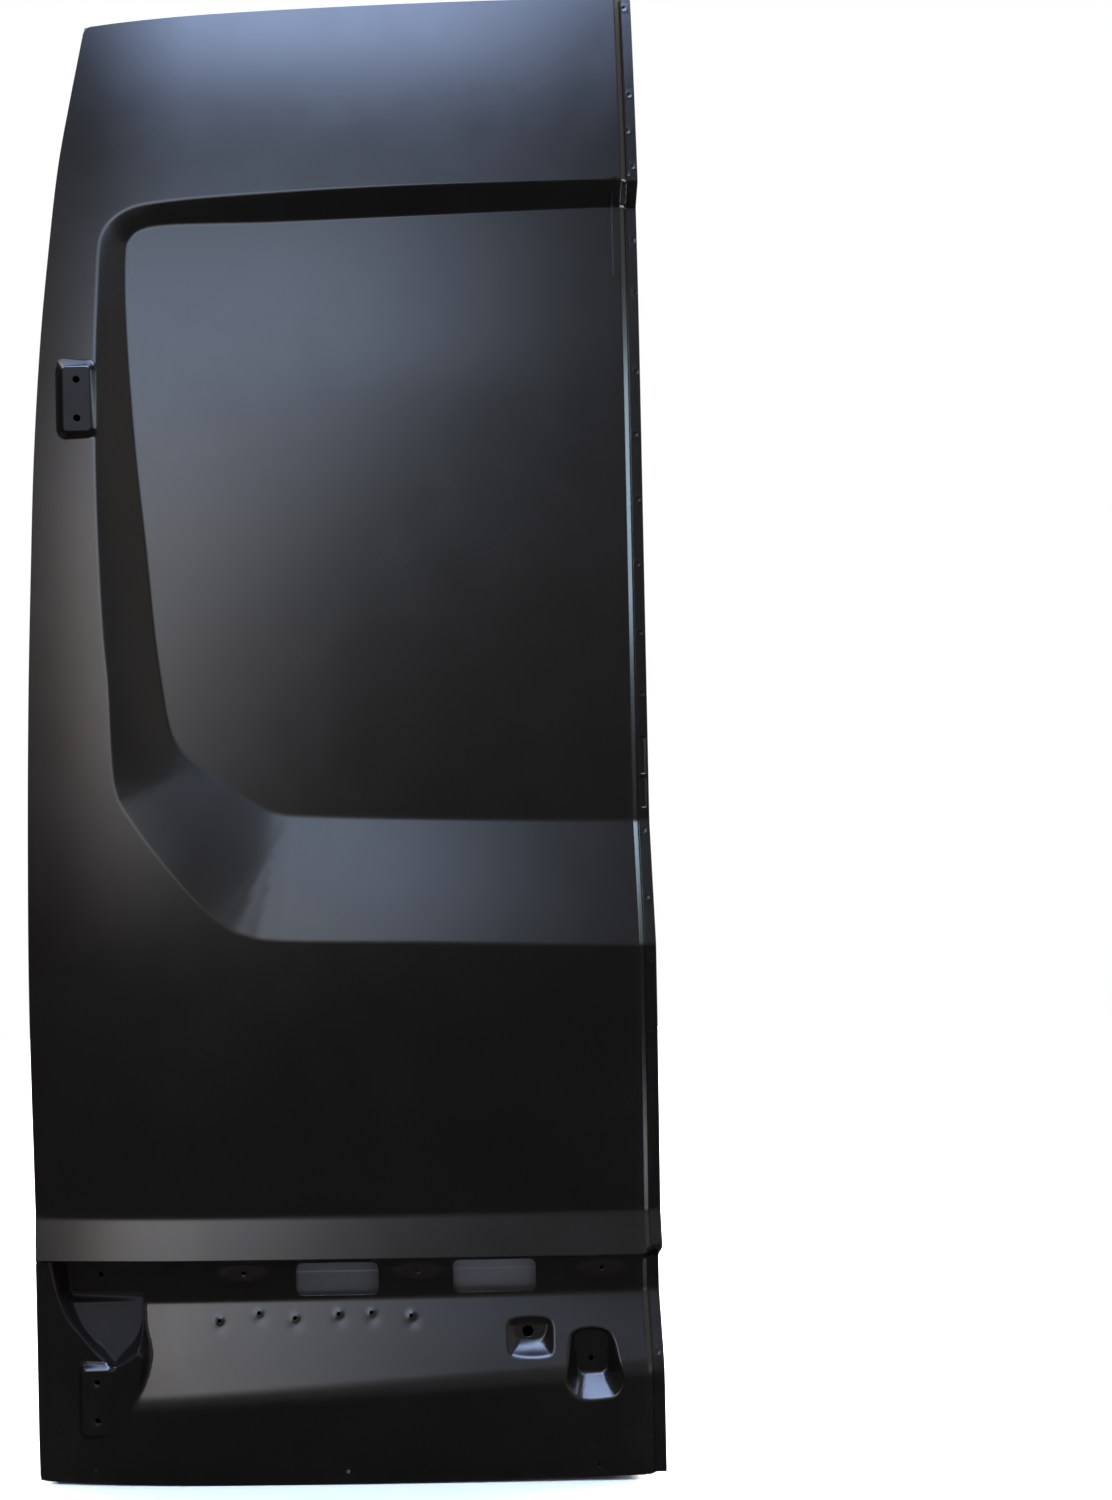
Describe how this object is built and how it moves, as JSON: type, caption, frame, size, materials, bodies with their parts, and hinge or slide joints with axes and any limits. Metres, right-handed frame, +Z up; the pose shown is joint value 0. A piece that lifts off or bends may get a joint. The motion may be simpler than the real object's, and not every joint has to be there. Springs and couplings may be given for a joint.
{
  "type": "van rear barn door shell",
  "caption": "Left leaf of a tall van's rear barn doors: bare pressed-steel shell in satin black primer with blank window recess, hinge pads, lamp shelf and number-plate face.",
  "frame": {"origin": "centre of the lower hinge seat's flat face, midway between its two bolt holes", "axes": "+Z up, -Y out of the outer face (towards the rear of the vehicle), +X from the hinge edge to the lock edge"},
  "size_m": [0.8165, 0.1665, 1.9324],
  "materials": {
    "primer_black": "satin",
    "nut_steel": "satin",
    "primer_grey": "matte",
    "mastic": "matte"
  },
  "bodies": {
    "root": {"upper_outer_skin": "primer_black", "hinge_side_outer_skin": "primer_black", "lower_outer_skin": "primer_black", "lamp_shelf_skin": "primer_black", "lamp_surround_strips": "primer_black", "hinge_corner_skin": "primer_black", "lock_edge_flange": "primer_black", "top_edge_hem": "primer_black", "hinge_edge_hem": "primer_black", "bottom_edge_hem": "primer_black", "inner_hinge_post": "primer_black", "inner_lock_post": "primer_black", "inner_top_rail": "primer_black", "inner_waist_rail": "primer_black", "inner_lower_panel": "primer_black", "inner_lamp_panel": "primer_black", "inner_bottom_rail": "primer_black", "upper_hinge_reinforcement": "primer_black", "lower_hinge_reinforcement": "primer_black", "upper_latch_bracket": "primer_black", "lower_latch_bracket": "primer_black", "lock_carrier_plate": "primer_black", "check_strap_bracket": "primer_black", "upper_skin_stiffener": "primer_black", "lower_skin_stiffener": "primer_black", "upper_hinge_nut_plate": "nut_steel", "lower_hinge_nut_plate": "nut_steel", "shelf_weld_nuts": "nut_steel", "plate_lamp_backing": "primer_grey", "skin_damping_pads": "mastic"}
  },
  "joints": []
}
